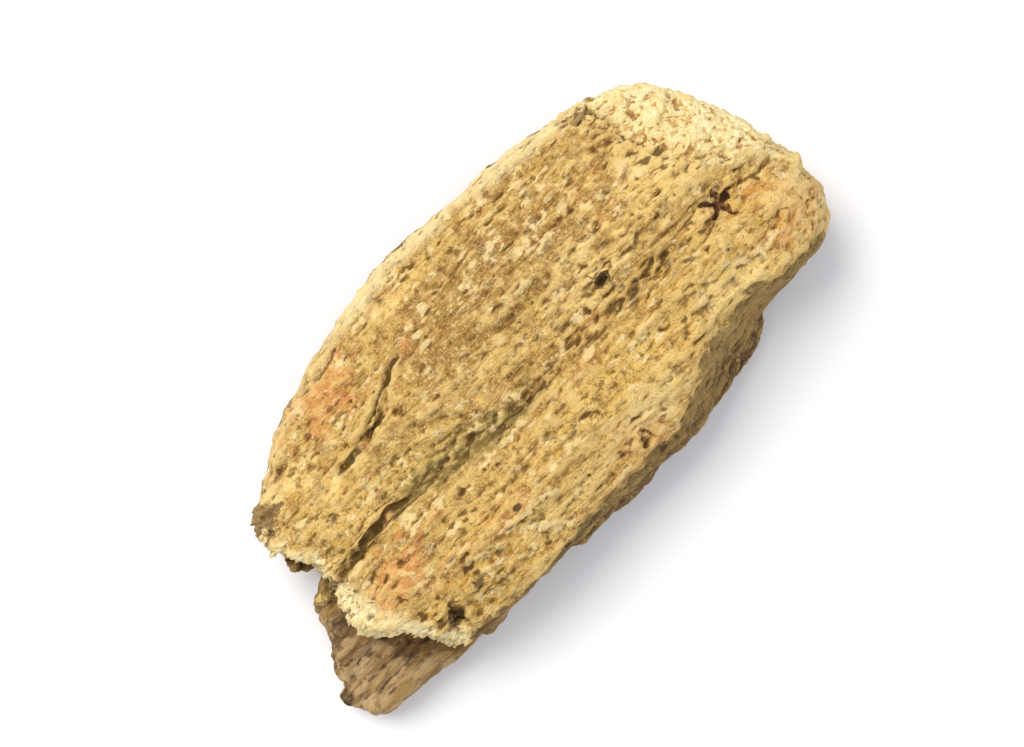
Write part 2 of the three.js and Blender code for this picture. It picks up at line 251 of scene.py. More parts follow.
def starAt(points):
    offX, offY = points[:, 0] - chip["star"][0], points[:, 1] - chip["star"][1]
    uneven = 1 + 0.9 * noiseAt(points, 0.14, 1, 24)
    wander = 0.09 * noiseAt(points, 0.17, 1, 25)
    total = smoothstep(*chip["starMiddle"], np.hypot(offX, offY) * uneven)
    for turn, reach in chip["starRays"]:
        along = offX * math.cos(turn) + offY * math.sin(turn)
        across = offY * math.cos(turn) - offX * math.sin(turn) + wander * smoothstep(0.05, 0.3, along)
        width = chip["starRayWidth"] * np.clip(1 - along / reach, 0.02, 1) ** 0.8
        inside = (along > 0) * smoothstep(reach, 0.8 * reach, along)
        fade = 1 - 0.35 * np.clip(along / reach, 0, 1)
        ray = inside * fade * smoothstep(1.2, 0.5, np.abs(across) * uneven / width)
        total = np.maximum(total, ray)
    return total * onTopFace(points)


def crackMask(points, name, layer):
    narrow, wide = chip[name + "Width"]
    left, right = chip[name + "Ends"]
    x, y = points[:, 0], points[:, 1]
    wander = 0.07 * noiseAt(points, 0.35, 1, layer)
    off = np.abs(y - lineAt(chip[name], x) + wander) + 0.03 * noiseAt(points, 0.15, 1, layer)
    along = smoothstep(left, left + 0.5, x) * smoothstep(right, right - 0.9, x)
    return smoothstep(wide, narrow, off) * along * onTopFace(points)


def findZones(points, normals):
    # how far each point belongs to the tongue, the skin, the broken faces and so on, from 0 to 1
    x, y, z = points.T
    nx, _, nz = normals.T
    wobble = 0.1 * noiseAt(points, 0.45, layer=40) + 0.05 * noiseAt(points, 0.2, layer=41)
    fromLeft = x - lineAt(chip["leftEnd"], y)
    fromNear = y - lineAt(chip["nearRim"], x)
    fromFar = lineAt(chip["farRim"], x) - y
    fromCorner = x - lineAt(chip["cornerEdge"], y)
    zones = {}
    onTongue = smoothstep(0.15, -0.1, z - chip["tongueTop"] + wobble) * smoothstep(0.9, 0.5, y)
    zones["tongue"] = onTongue * smoothstep(0.9, 0.6, fromLeft)
    fadeOut = fromLeft + 0.9 * noiseAt(points, 0.5, 2.5, 42)
    zones["tongueTone"] = onTongue * smoothstep(1.9, 0.5, fadeOut)
    zones["underLip"] = (onTongue * smoothstep(-0.55, -0.15, fromLeft + 2 * wobble)
                         * smoothstep(0.9, 0.5, fromLeft))
    zones["snapped"] = (smoothstep(0.9, 0.3, fromLeft) * smoothstep(0.7, 1.0, z)
                        * np.maximum(1 - zones["tongue"], 0.4))
    inside = smoothstep(0.12, 0.3, fromNear) * smoothstep(0.2, 0.4, fromFar) * smoothstep(0.7, 1.1, z)
    leftBreak = smoothstep(-0.2, -0.5, nx) * smoothstep(0.9, 0.5, fromLeft)
    rightBreak = smoothstep(0.25, 0.55, nx) * smoothstep(5.2, 5.9, x)
    corner = smoothstep(0.0, 0.12, fromCorner + wobble) * smoothstep(-0.4, 0.1, nz)
    zones["broken"] = np.maximum.reduce((leftBreak, rightBreak, corner)) * (1 - zones["tongue"])
    zones["flat"] = smoothstep(0.05, 0.02, z) * smoothstep(-0.4, -0.8, nz)
    steepness = np.where(y > 0.5, 0.4, 0.0)  # the far wall is wood as far down as it faces up
    steep = smoothstep(0.5, 0.25, nz + steepness + wobble) * (1 - inside)
    outside = smoothstep(0.12, -0.04, fromNear + wobble)
    skin = np.maximum(steep, outside * smoothstep(0.8, 0.6, nz)) * smoothstep(0.02, 0.08, z)
    scraps = patches(points, marks["scraps"], 43) * onTopFace(points)
    zones["bark"] = np.maximum.reduce((skin * (1 - zones["broken"]), zones["tongue"], scraps))
    # a painted highlight along the far rim, which rounds over towards the light
    zones["rim"] = (smoothstep(0.45, 0.1, fromFar + 2 * wobble) * smoothstep(-0.2, 0.2, nz)
                    * lineAt([(-5, 0.3), (-2.5, 0.5), (-1, 1)], x))
    onLip = smoothstep(0.5, 0.2, fromLeft + wobble) * smoothstep(-0.35, -0.75, y + wobble)
    zones["lip"] = (onLip * smoothstep(-2.75, -2.45, y + wobble) * smoothstep(-0.5, 0.0, nz)
                    * smoothstep(1.2, 1.5, z))
    return zones


def reliefOf(points, zones):
    # height of the fine forms along the surface's own normal; adds the pale and dark cells to the zones
    sway = swayAt(points, 0.5, 60)
    ruffle = swayAt(points, 0.15, 80)
    bent = points + 0.1 * sway
    strands = 2.2 * np.abs(noiseAt(bent, 0.3, 11, 1)) - 0.5
    near, _, own = cellsAt(points + 0.12 * sway + 0.11 * ruffle, 0.25, 2.4, 33)
    zones["pale"] = smoothstep(0.5, 0.2, near) * (own > 0.66)
    zones["dark"] = smoothstep(0.42, 0.12, near) * (own < 0.18)
    near, second, own = cellsAt(points + 0.05 * sway, 0.13, 5, 28)
    bundles = (own - 0.5) * smoothstep(0.0, 0.15, second - near) - 0.5 * near
    tornSheets = smoothstep(0.14, 0.17, noiseAt(bent, 0.7, 3.6, 4))
    near, _, own = cellsAt(points + 0.1 * sway + 0.06 * ruffle, 0.3, 4.5, 6)
    pores = smoothstep(0.24, 0.08, near) * (own > 0.8)
    woodRelief = stacked(woodForms, {
        "swells": roughAt(bent, 0.7, 5, 14, 5),
        "strands": strands,
        "pitting": roughAt(points, 0.32, 1.7, 3, 4, 0.45),
        "bundles": bundles,
        "torn": tornSheets * smoothstep(-0.1, 0.1, noiseAt(points, 1.6, 1.5, 5)),
        "pores": pores,
        "pale": zones["pale"],
        "dark": zones["dark"],
    })

    near, second, _ = cellsAt(bent, 0.6, 3, 9)
    cracked = smoothstep(-0.15, 0.35, noiseAt(points, 1.1, 1.6, 44)) * (1 - 0.6 * zones["tongue"])
    barkRelief = stacked(barkForms, {
        "wrinkles": 2.2 * np.abs(noiseAt(bent, 0.45, 5, 7)) - 0.5,
        "folds": roughAt(bent, 0.8, 4, 45, 3),
        "crinkles": 2.2 * np.abs(noiseAt(bent, 0.2, 2.2, 8)) - 0.5,
        "grains": roughAt(points, 0.16, 1.3, 19, 3),
        "splits": smoothstep(0.09, 0.01, second - near) * cracked,
    })

    near, _, own = cellsAt(bent + 0.08 * ruffle, 0.2, 1.3, 10)
    brokenRelief = stacked(brokenForms, {
        "crumbs": (0.45 - near) * (0.4 + 1.2 * own),
        "roughness": roughAt(points, 0.25, 1.0, 11, 4, 0.45),
        "lumps": noiseAt(points, 0.6, 1.0, 12),
        "dark": zones["dark"],
    })

    slanted = points + points[:, 1:2] * (0.5, 0, 0)  # the knife went across at a slant
    cutRelief = stacked(cutForms, {
        "gouges": smoothstep(0.05, 0.3, noiseAt(points, 0.5, 7, 13)),
        "knifeMarks": smoothstep(0.05, 0.5, noiseAt(slanted, 2.0, 0.07, 14)),
        "strands": smoothstep(0.0, 0.6, strands),
        "pores": pores,
    })

    wood = (1 - zones["bark"]) * (1 - zones["broken"])
    whole = wood * woodRelief + zones["bark"] * barkRelief + zones["broken"] * brokenRelief
    depth, uneven = chip["starDepth"]
    cracks = (depth + uneven * noiseAt(points, 0.13, 1, 48)) * zones["star"]
    for name, depth in crackDepths.items():
        cracks = cracks + depth * zones[name]
    return whole * (1 - zones["flat"]) + cutRelief * zones["flat"] - cracks * wood


def roughenEdges(points, zones):
    # pit mouths and edges are pulled about sideways, so that none stays round or straight
    ragged = swayAt(points, 0.28, 50)
    nearPits = np.zeros(len(points))
    for spotX, spotY, reach in chip["pits"]:
        away = np.hypot(points[:, 0] - spotX, points[:, 1] - spotY)
        nearPits = np.maximum(nearPits, smoothstep(reach * 3.2, reach, away))
    everywhere, atPits = chip["ragged"]
    points = points + (everywhere + atPits * nearPits)[:, None] * ragged * (1 - zones["flat"])[:, None]
    offSeam = np.abs(points[:, 1] - lineAt(chip["seam"], points[:, 0]))
    offLedge = np.abs(points[:, 0] - lineAt(chip["cornerEdge"], points[:, 1]))
    ledge = 1.6 * smoothstep(0.6, 0.2, offLedge) * smoothstep(-0.2, 0.2, points[:, 1])
    nearCuts = np.maximum.reduce((1.7 * nearPits, smoothstep(0.4, 0.2, offSeam), ledge)) * onTopFace(points)
    pushX, pushY, push = chip["lipPush"]
    onLip = smoothstep(0.7, 0.2, np.hypot(points[:, 0] - pushX, points[:, 1] - pushY))
    points[:, :2] -= (push * onLip * smoothstep(1.1, 1.4, points[:, 2]))[:, None]
    for pitch, reach in chip["splinters"]:
        points = points + (reach * nearCuts)[:, None] * swayAt(points, pitch, 70)
    # the snapped left end steps in and out along the grain, as bundles of fibre do
    thick = cellsAt(points + 0.05 * ragged, 0.15, 7, 49)[2]
    thin = cellsAt(points, 0.07, 9, 50)[2]
    points[:, 0] += chip["snap"] * (thick + 0.6 * thin - 0.8) * zones["snapped"]
    return points


def surfaceValues(mesh, points, zones):
    # what the material reads at each point, from 0 to 1
    shown = readNormals(mesh)

    def sunkAt(passes, full):
        below = np.einsum("ij,ij->i", evenOut(mesh, points, passes) - points, shown)
        return np.clip(0.5 + below / full, 0, 1)

    x, y = points[:, 0], points[:, 1]
    offTrough = np.abs(y - lineAt(chip["seam"], x)) + 0.15 * noiseAt(points, 0.4, 1, 23)
    onTop = onTopFace(points)
    seamShade = zones["seamLine"] * lineAt(chip["seamShade"], x)
    tone = patches(points, marks["yellow"], 26) - patches(points, marks["brown"], 27)
    starTint = patches(points, [(*chip["star"], *chip["starSurround"])], 24) * onTop
    return {
        "bark": zones["bark"],
        "broken": zones["broken"],
        "tongue": np.maximum(zones["tongueTone"], 0.5 * patches(points, marks["scraps"], 43)),
        "underLip": zones["underLip"],
        "rim": zones["rim"] * (1 - zones["bark"]),
        "flat": zones["flat"],
        "ring": evenOut(mesh, zones["bark"], chip["ringPasses"]) * zones["flat"],
        # the lip's pale broken edge, with the painted highlight of the cream spots
        "lip": np.maximum(zones["lip"], patches(points, marks["cream"], 47) * onTop),
        # the butter spots, the first of them a painted highlight
        "butter": patches(points, marks["butter"], 46) * onTop,
        "pith": zones["broken"] * lineAt([(-1.4, 0.3), (0.2, 1.0)], np.where(x > 0, y, 1)),
        # how sunk each place is among its near neighbours; the material paints shade into these hollows
        "hollow": sunkAt(*chip["hollows"]),
        # how sunk each place is in the broad form; the material paints shade into these valleys and light
        # onto the rises
        "valley": sunkAt(*chip["valleys"]),
        "warm": patches(points, marks["orange"], 22) * onTop,
        "stainAndShade": patches(points, marks["stainsAndShadow"], 23),
        "star": np.maximum(zones["star"], starTint),
        # painted shade in the seam and the short crack
        "crack": np.maximum(0.8 * seamShade, 0.8 * zones["shortCrack"]),
        "fleck": 0.5 + 0.5 * (zones["pale"] - zones["dark"]),
        "tone": 0.5 + 0.5 * tone * onTop,
        "paleness": patches(points, marks["pale"], 29) * onTop,
        "olive": (smoothstep(0.5, 0.1, offTrough) * smoothstep(-3.8, -2.9, x) * smoothstep(0.9, -0.6, x)
                  * onTop),
    }


def modified(mesh, kind, **settings):
    # the mesh as one modifier leaves it; the mesh that went in is removed
    helper = bpy.data.objects.new("helper", mesh)
    bpy.context.scene.collection.objects.link(helper)
    modifier = helper.modifiers.new("step", kind)
    for name, value in settings.items():
        setattr(modifier, name, value)
    graph = bpy.context.evaluated_depsgraph_get()
    made = bpy.data.meshes.new_from_object(helper.evaluated_get(graph))
    bpy.data.objects.remove(helper)
    bpy.data.meshes.remove(mesh)
    return made


def buildChip():
    bm = bmesh.new()
    bm.from_mesh(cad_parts["root_chip"].data)
    bmesh.ops.scale(bm, vec=(1 / mm,) * 3, verts=bm.verts)
    bmesh.ops.remove_doubles(bm, verts=bm.verts, dist=chip["merge"])
    start = bpy.data.meshes.new("rootChipStart")
    bm.to_mesh(start)
    bm.free()
    mesh = modified(start, "REMESH", mode="VOXEL", voxel_size=chip["voxel"])
    print("chip remeshed:", len(mesh.vertices), "vertices")

    points = evenOut(mesh, readPoints(mesh), chip["settle"])
    writePoints(mesh, points)
    normals = readNormals(mesh)
    zones = findZones(points, normals)
    for name in ("bark", "broken", "tongue"):
        zones[name] = evenOut(mesh, zones[name], 2)
    points = roughenEdges(points, zones)
    zones["star"] = starAt(points)
    zones["shortCrack"] = crackMask(points, "shortCrack", 21)
    # the seam's painted shade is darkest a little to the near side, as the far wall is in shade anyway
    nearWall = crackMask(points + chip["seamShift"], "seam", 20)
    zones["seamLine"] = np.maximum(nearWall, chip["seamMiddle"] * crackMask(points, "seam", 20))
    points = points + normals * reliefOf(points, zones)[:, None]
    points[:, 2] = np.maximum(points[:, 2], 0.0)
    writePoints(mesh, points)
    print("chip relief done")

    for name, values in surfaceValues(mesh, points, zones).items():
        layer = mesh.attributes.new(name, "FLOAT", "POINT")
        layer.data.foreach_set("value", values.astype(np.float32))
    count = sum(len(polygon.vertices) - 2 for polygon in mesh.polygons)
    mesh = modified(mesh, "DECIMATE", ratio=chip["triangles"] / count, use_collapse_triangulate=True)
    mesh.name = "rhubarbRootChip"
    print("chip thinned from", count, "to", len(mesh.polygons), "triangles")
    points = readPoints(mesh)
    points[:, 2] = np.maximum(points[:, 2], 0.0)
    writePoints(mesh, points * mm)
    for polygon in mesh.polygons:
        polygon.use_smooth = True
    piece = bpy.data.objects.new("rhubarbRootChip", mesh)
    bpy.context.scene.collection.objects.link(piece)
    return piece


# Material helpers

def srgb(red, green, blue):
    # a colour as a picture program gives it, made linear for the shader
    parts = (red / 255, green / 255, blue / 255)
    linear = [((part + 0.055) / 1.055) ** 2.4 if part > 0.04 else part / 12.92 for part in parts]
    return (*linear, 1.0)


def addNode(tree, kind, values=None, **settings):
    made = tree.nodes.new(kind)
    for name, value in settings.items():
        setattr(made, name, value)
    for socket, value in (values or {}).items():
        if isinstance(value, bpy.types.NodeSocket):
            tree.links.new(value, made.inputs[socket])
        else:
            made.inputs[socket].default_value = value
    return made


def mixColour(tree, factor, first, second):
    return addNode(tree, "ShaderNodeMix", {0: factor, 6: first, 7: second}, data_type="RGBA").outputs[2]


def calc(tree, operation, first, second=0.0):
    return addNode(tree, "ShaderNodeMath", {0: first, 1: second}, operation=operation).outputs[0]


def calcVector(tree, operation, *parts):
    return addNode(tree, "ShaderNodeVectorMath", dict(enumerate(parts)), operation=operation).outputs[0]


def ranged(tree, value, low, high, toLow=0.0, toHigh=1.0):
    values = {"Value": value, "From Min": low, "From Max": high, "To Min": toLow, "To Max": toHigh}
    return addNode(tree, "ShaderNodeMapRange", values, interpolation_type="SMOOTHSTEP").outputs[0]


def attribute(tree, name):
    return addNode(tree, "ShaderNodeAttribute", attribute_name=name).outputs["Fac"]


# Grain that both materials share. The scales are cells or waves a millimetre.
grainScales = {"granules": 9.0, "flecks": 6.5, "fleckSway": 8.0, "mottle": 5.5, "broad": 0.75, "dust": 24.0}
fleckShape = {"sway": (0.22,) * 3, "squeeze": (0.45, 1, 1)}


def makeGrainGroup():
    # streaks, lines and veins along the grain, mottling, granules, flecks and dust
    group = bpy.data.node_groups.new("rootGrain", "ShaderNodeTree")
    face = group.interface
    face.new_socket("Place", in_out="INPUT", socket_type="NodeSocketVector")
    for name in ("Pitch", "Stretch"):
        face.new_socket(name, in_out="INPUT", socket_type="NodeSocketFloat")
    for name in ("Streaks", "Lines", "Veins", "Mottle", "Granules", "Broad", "Pale", "Dark", "Dust"):
        face.new_socket(name, in_out="OUTPUT", socket_type="NodeSocketFloat")
    inputs = addNode(group, "NodeGroupInput")
    outputs = addNode(group, "NodeGroupOutput")
    place = inputs.outputs["Place"]
    along = calc(group, "DIVIDE", 1.0, inputs.outputs["Stretch"])
    squeeze = addNode(group, "ShaderNodeCombineXYZ", {0: along, 1: 1.0, 2: 1.0}).outputs[0]
    drawn = calcVector(group, "MULTIPLY", place, squeeze)
    scale = calc(group, "DIVIDE", 1.0, inputs.outputs["Pitch"])

    def noiseOf(vector, scaleBy, detail, roughness, distortion):
        values = {"Vector": vector, "Scale": scaleBy, "Detail": detail, "Roughness": roughness,
                  "Distortion": distortion}
        return addNode(group, "ShaderNodeTexNoise", values).outputs["Fac"]

    def cellsOf(vector, scaleBy):
        values = {"Vector": vector, "Scale": scaleBy, "Randomness": 1.0}
        cells = addNode(group, "ShaderNodeTexVoronoi", values).outputs
        own = addNode(group, "ShaderNodeSeparateColor", {0: cells["Color"]}).outputs
        return cells["Distance"], own

    veinField = noiseOf(drawn, calc(group, "MULTIPLY", scale, 0.6), 3.0, 0.5, 1.2)
    fromVein = calc(group, "ABSOLUTE", calc(group, "SUBTRACT", veinField, 0.5))
    apart, own = cellsOf(place, grainScales["granules"])
    granules = calc(group, "MULTIPLY", ranged(group, apart, 0.45, 0.15), ranged(group, own[0], 0.5, 0.8))

    # flecks are cells pulled out along the grain, some of them pale and some dark
    values = {"Vector": place, "Scale": grainScales["fleckSway"], "Detail": 3.0}
    sway = addNode(group, "ShaderNodeTexNoise", values).outputs["Color"]
    shift = calcVector(group, "SUBTRACT", sway, (0.5, 0.5, 0.5))
    bent = calcVector(group, "MULTIPLY_ADD", shift, fleckShape["sway"], place)
    bent = calcVector(group, "MULTIPLY", bent, fleckShape["squeeze"])
    apart, own = cellsOf(bent, grainScales["flecks"])
    results = {
        "Streaks": noiseOf(drawn, scale, 4.0, 0.6, 0.6),
        "Lines": noiseOf(drawn, calc(group, "MULTIPLY", scale, 3.4), 3.0, 0.6, 0.8),
        "Veins": ranged(group, fromVein, 0.03, 0.006),
        "Mottle": noiseOf(place, grainScales["mottle"], 5.0, 0.65, 0.3),
        "Granules": granules,
        "Broad": noiseOf(drawn, grainScales["broad"], 3.0, 0.55, 0.4),
        "Pale": calc(group, "MULTIPLY", ranged(group, apart, 0.5, 0.25), ranged(group, own[0], 0.55, 0.8)),
        "Dark": calc(group, "MULTIPLY", ranged(group, apart, 0.42, 0.2), ranged(group, own[1], 0.72, 0.86)),
        "Dust": noiseOf(place, grainScales["dust"], 2.0, 0.75, 0.0),
    }
    for name, result in results.items():
        group.links.new(result, outputs.inputs[name])
    return group


def placeInMillimetres(tree):
    coordinates = addNode(tree, "ShaderNodeTexCoord").outputs["Object"]
    return addNode(tree, "ShaderNodeMapping", {"Vector": coordinates, "Scale": (1 / mm,) * 3}).outputs[0]


def addGrain(tree, grain, place, finish):
    values = {"Place": place, "Pitch": finish["pitch"], "Stretch": finish["stretch"]}
    return addNode(tree, "ShaderNodeGroup", values, node_tree=grain).outputs


def newMaterial(name):
    material = bpy.data.materials.new(name)
    material.use_nodes = True
    material.node_tree.nodes.clear()
    return material, material.node_tree


def finishMaterial(tree, values):
    shader = addNode(tree, "ShaderNodeBsdfPrincipled", values)
    output = addNode(tree, "ShaderNodeOutputMaterial")
    tree.links.new(shader.outputs[0], output.inputs["Surface"])


woodTones = {
    "brown": srgb(142, 104, 46),
    "tan": srgb(184, 144, 72),
    "straw": srgb(204, 165, 86),
    "light": srgb(232, 198, 122),
    "chalk": srgb(246, 222, 164),
    "honey": srgb(238, 197, 110),
    "cream": srgb(252, 234, 180),
    "butter": srgb(250, 216, 136),
    "white": srgb(255, 242, 188),
    "amber": srgb(176, 122, 58),
    "hollowShade": srgb(96, 68, 30),
    "speck": srgb(118, 80, 34),
    "olive": srgb(122, 110, 60),
    "crack": srgb(88, 66, 18),
    "orange": srgb(230, 150, 84),
    "stainAndShade": srgb(62, 42, 26),
    "star": srgb(112, 58, 48),
    "cutFace": srgb(190, 154, 94),
    "yellow": srgb(212, 167, 72),
    "vein": srgb(158, 84, 40),
}
barkTones = {
    "deep": srgb(54, 38, 18),
    "rust": srgb(98, 58, 30),
    "olive": srgb(104, 84, 40),
    "grey": srgb(142, 115, 64),
    "scuff": srgb(182, 150, 88),
    "speck": srgb(204, 180, 120),
    "tongue": srgb(152, 117, 74),
    "tongueLight": srgb(206, 174, 128),
    "tongueDark": srgb(78, 50, 36),
    "shaded": srgb(112, 78, 24),
}
rootFinish = {
    "pitch": 0.22,  # of the streaks, millimetres
    "stretch": 7.0,
    "gloss": 0.25,
    "roughness": (0.98, 0.84),  # from the dark side of the streaks to the light one
    "bump": 0.06,  # millimetres
    "shares": {"Mottle": 0.5, "Streaks": 0.5, "Lines": 0.6, "Dust": 0.9, "Granules": 0.25, "Pale": 0.2,
               "Dark": -0.35},  # of each kind of grain in the bump
}


def rootMaterial(grain):
    material, tree = newMaterial("driedRoot")
    place = placeInMillimetres(tree)
    parts = addGrain(tree, grain, place, rootFinish)
    streaks, lines, veins, mottle, granules, broad, pale, dark, dust = parts
    hollow, valley, tone = (attribute(tree, name) for name in ("hollow", "valley", "tone"))
    height = addNode(tree, "ShaderNodeSeparateXYZ", {0: place}).outputs[2]

    def layer(colour, amount, tint, strength=1.0):
        return mixColour(tree, calc(tree, "MULTIPLY", amount, strength), colour, tint)

    def coats(colour, tones, rows):
        for amount, name, strength in rows:
            colour = layer(colour, amount, tones[name], strength)
        return colour

    def blotched(name, low, high, down, up):
        # an attribute with its edge broken up by the mottling
        return calc(tree, "ADD", attribute(tree, name), ranged(tree, mottle, low, high, down, up))

    # the wood: broad tone, then streaks, fine lines, mottling, veins and granules, and painted shade in the
    # broad valleys with painted light on the broad rises
    wood = mixColour(tree, ranged(tree, broad, 0.35, 0.65), woodTones["tan"], woodTones["straw"])
    wood = coats(wood, woodTones, [
        (ranged(tree, tone, 0.5, 0.1), "brown", 0.55),
        (ranged(tree, tone, 0.5, 0.95), "yellow", 0.7),
        (attribute(tree, "paleness"), "honey", 0.75),
        (attribute(tree, "butter"), "butter", 0.8),
        (ranged(tree, streaks, 0.48, 0.32), "brown", 0.65),
        (ranged(tree, streaks, 0.56, 0.72), "light", 0.5),
        (ranged(tree, lines, 0.46, 0.34), "brown", 0.55),
        (ranged(tree, lines, 0.56, 0.68), "light", 0.5),
        (ranged(tree, mottle, 0.54, 0.66), "light", 0.7),
        (ranged(tree, mottle, 0.46, 0.34), "brown", 0.85),
        (calc(tree, "MULTIPLY", veins, ranged(tree, broad, 0.4, 0.56)), "vein", 0.6),
        (granules, "light", 0.35),
        (pale, "chalk", 0.7),
        (dark, "speck", 0.75),
        (ranged(tree, dust, 0.55, 0.68), "cream", 0.42),
        (ranged(tree, dust, 0.45, 0.32), "speck", 0.48),
        # painted shade in the broad valleys, painted light on the broad rises
        (ranged(tree, valley, 0.55, 0.95), "brown", 0.35),
        (ranged(tree, valley, 0.5, 0.2), "light", 0.4),
    ])
    # the orange patches, the olive trough, the painted highlight along the far rim, the paler lip with the
    # painted highlight of the cream spots, and the broken faces
    olive = attribute(tree, "olive")
    wood = coats(wood, woodTones, [
        (attribute(tree, "warm"), "orange", 0.5),
        (calc(tree, "MULTIPLY", olive, ranged(tree, mottle, 0.6, 0.42, 0.35, 1.0)), "olive", 0.85),
        (calc(tree, "MULTIPLY", olive, dark), "crack", 0.9),
        (attribute(tree, "rim"), "cream", 0.65),
        (attribute(tree, "lip"), "cream", 0.9),
    ])
    broken = mixColour(tree, ranged(tree, mottle, 0.34, 0.5), woodTones["butter"], woodTones["white"])
    broken = coats(broken, woodTones, [
        (dark, "amber", 0.7),
        (ranged(tree, dust, 0.46, 0.3), "amber", 0.4),
    ])
    wood = layer(wood, attribute(tree, "pith"), broken, 0.92)
    fleck = blotched("fleck", 0.35, 0.65, -0.25, 0.25)
    wood = coats(wood, woodTones, [
        (ranged(tree, fleck, 0.6, 1.0), "chalk", 0.7),
        (ranged(tree, fleck, 0.38, 0.0), "speck", 0.85),
        (attribute(tree, "butter"), "butter", 0.4),
    ])
    # the cut underside, marbled, with a darker ring inside the skin
    cut = mixColour(tree, ranged(tree, broad, 0.38, 0.62), woodTones["tan"], woodTones["cutFace"])
    cut = coats(cut, woodTones, [
        (ranged(tree, streaks, 0.48, 0.34), "speck", 0.5),
        (ranged(tree, streaks, 0.54, 0.7), "butter", 0.65),
        (ranged(tree, lines, 0.46, 0.32), "brown", 0.6),
        (veins, "vein", 0.7),
        (pale, "cream", 0.3),
        (dark, "vein", 0.75),
        (ranged(tree, attribute(tree, "ring"), 0.1, 0.45), "speck", 0.6),
    ])
    wood = layer(wood, attribute(tree, "flat"), cut, 0.9)
    # painted shade: the wood is darkened in its small hollows, towards amber on the broken faces
    amber = mixColour(tree, ranged(tree, mottle, 0.4, 0.6), woodTones["vein"], woodTones["yellow"])
    hollowShade = mixColour(tree, attribute(tree, "broken"), woodTones["hollowShade"], amber)
    wood = layer(wood, ranged(tree, hollow, 0.55, 0.95), hollowShade, 0.8)
    wood = layer(wood, ranged(tree, hollow, 0.45, 0.1), woodTones["light"], 0.5)

    # the skin: olive and grey brown with pale specks, paler where it is scuffed, and the pinker tongue
    bark = mixColour(tree, ranged(tree, broad, 0.38, 0.62), barkTones["olive"], barkTones["grey"])
    bark = coats(bark, barkTones, [
        (ranged(tree, mottle, 0.56, 0.7), "scuff", 0.45),
        (ranged(tree, streaks, 0.48, 0.3), "deep", 0.7),
        (ranged(tree, mottle, 0.46, 0.34), "deep", 0.5),
        (ranged(tree, height, 2.2, 0.8), "rust", 0.5),
        (ranged(tree, height, 1.7, 0.1), "deep", 0.35),
        (granules, "speck", 0.5),
        (pale, "scuff", 0.6),
        (dark, "deep", 0.8),
        (attribute(tree, "paleness"), "scuff", 0.55),
        (ranged(tree, dust, 0.55, 0.68), "speck", 0.5),
    ])
    tongue = mixColour(tree, ranged(tree, streaks, 0.4, 0.62), barkTones["tongue"], barkTones["tongueLight"])
    tongue = coats(tongue, barkTones, [
        (ranged(tree, lines, 0.46, 0.34), "deep", 0.5),
        (pale, "tongueLight", 0.6),
        (dark, "tongueDark", 0.8),
        (attribute(tree, "underLip"), "shaded", 0.75),
    ])
    bark = layer(bark, attribute(tree, "tongue"), tongue, 0.85)
    # painted shade: the skin is darkened in its small hollows
    bark = layer(bark, ranged(tree, hollow, 0.55, 0.95), barkTones["deep"], 0.7)
    bark = layer(bark, ranged(tree, hollow, 0.42, 0.1), barkTones["scuff"], 0.5)

    # both together, and over them the painted shade in the cracks, the stains and dark pits with a painted
    # shadow under the lip, and the star with painted shade deeper in its pit
    barkEdge = blotched("bark", 0.3, 0.7, -0.35, 0.35)
    colour = mixColour(tree, ranged(tree, barkEdge, 0.38, 0.62), wood, bark)
    crack = blotched("crack", 0.35, 0.65, -0.2, 0.2)
    stainAndShade = blotched("stainAndShade", 0.35, 0.65, -0.15, 0.15)
    star = blotched("star", 0.35, 0.65, -0.25, 0.2)
    # painted shade: the star spot is darker deeper in its pit
    starTone = mixColour(tree, ranged(tree, hollow, 0.6, 0.95), woodTones["star"], woodTones["stainAndShade"])
    starTone = layer(starTone, ranged(tree, dust, 0.5, 0.66), woodTones["vein"], 0.6)
    # painted shade in the cracks
    colour = layer(colour, ranged(tree, crack, 0.2, 0.85), woodTones["crack"], 0.9)
    # the stains, with the painted shadow under the lip among them
    colour = layer(colour, ranged(tree, stainAndShade, 0.2, 0.9), woodTones["stainAndShade"], 0.85)
    colour = layer(colour, ranged(tree, star, 0.1, 0.95), starTone, 0.85)

    relief = 0.0
    for name, share in rootFinish["shares"].items():
        relief = calc(tree, "ADD", relief, calc(tree, "MULTIPLY", parts[name], share))
    bump = {"Height": relief, "Strength": 1.0, "Distance": rootFinish["bump"] * mm}
    finishMaterial(tree, {
        "Base Color": colour,
        "Roughness": ranged(tree, streaks, 0.3, 0.7, *rootFinish["roughness"]),
        "Normal": addNode(tree, "ShaderNodeBump", bump).outputs[0],
        "Specular IOR Level": rootFinish["gloss"],
    })
    return material


# Loose ends of fibre that lie along the grain, and crumbs that cling in the hollows
fray = {
    "seed": 7,
    "count": 110,
    "within": (6.3, 3.2, 0.9),  # furthest along and across, and lowest
    "thick": 0.014,
    "thickSpread": (0.6, 1.4),
    "short": 0.15,
    "long": 0.6,
    "joints": 5,
    "sides": 5,
    "sunk": 0.012,  # how deep the fixed end starts
    "lift": 0.07,  # half of how far the loose end stands off, as a share of the length
    "liftSpread": (0.1, 1.0),
    "askew": 0.28,  # how far it starts out of line with the grain
    "bend": 0.12,  # how far it turns at a joint
    "order": (1.0, 0.37, 0.61),  # the direction that the finished mesh is sorted along
    "taper": 0.86,
    "tip": 0.4,
}
crumb = {
    "count": 500,
    "small": 0.008,
    "large": 0.026,
    "shape": ((0.9, 1.8), (0.7, 1.2), (0.5, 0.9)),  # along the grain, across it and up
    "turn": 0.6,
    "lumps": 0.6,
    "lowest": 0.4,
}
fibreFinish = {
    "pitch": 0.22,
    "stretch": 7.0,
    "gloss": 0.25,
    "roughness": (0.98, 0.88),
    "bump": 0.02,
    "bumpStrength": 0.4,
}


def pickSpots(points, fits, count, draw):
    choices = np.flatnonzero(fits)
    return [Vector(points[int(draw.choice(choices))]) for _ in range(count)]


